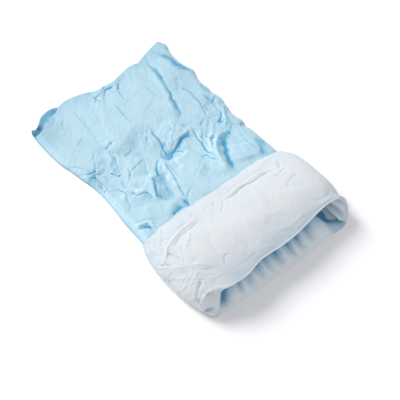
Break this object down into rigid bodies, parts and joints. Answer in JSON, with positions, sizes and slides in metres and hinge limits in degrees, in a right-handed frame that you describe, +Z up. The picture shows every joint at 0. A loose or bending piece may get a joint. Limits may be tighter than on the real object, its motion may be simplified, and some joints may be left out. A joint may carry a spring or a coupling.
{
  "type": "patient gown",
  "caption": "Disposable tubular patient gown body lying flat, blue film outside and white lining inside, with one end turned back into a deep open cuff.",
  "frame": {"origin": "centre of the footprint of the gown as it lies, at the level of the surface it lies on", "axes": "+X from the far open end to the mouth of the cuff, +Y across the gown towards its right side seam, +Z up"},
  "size_m": [0.496, 0.33, 0.054],
  "materials": {
    "blue_film": "satin film with a fine crumple",
    "white_lining": "matt nonwoven",
    "inner_lining": "matt nonwoven with the blue film showing through"
  },
  "bodies": {
    "gown_body": {"upper_panel_film": "blue_film", "upper_panel_lining": "white_lining", "lower_panel_film": "blue_film", "lower_panel_lining": "inner_lining", "left_side_seam": "blue_film", "right_side_seam": "blue_film", "cuff_lower_lining": "white_lining", "cuff_lower_film": "blue_film", "cuff_lower_hem": "white_lining", "lower_lip_fold": "white_lining", "left_side_outer_lining": "white_lining", "left_side_film": "blue_film", "left_side_inner_lining": "inner_lining", "right_side_outer_lining": "white_lining", "right_side_film": "blue_film", "right_side_inner_lining": "inner_lining"},
    "cuff_top": {"cuff_upper_lining": "white_lining", "cuff_upper_film": "blue_film", "inner_upper_film": "blue_film", "inner_upper_lining": "inner_lining", "upper_lip_fold": "white_lining", "cuff_back_hem": "white_lining"}
  },
  "joints": [
    {"name": "mouth_lift", "type": "hinge", "parent": "gown_body", "child": "cuff_top", "pos_m": [0.064, 0, 0.0134], "axis": [0, -1, 0], "range_deg": [0, 12]}
  ]
}
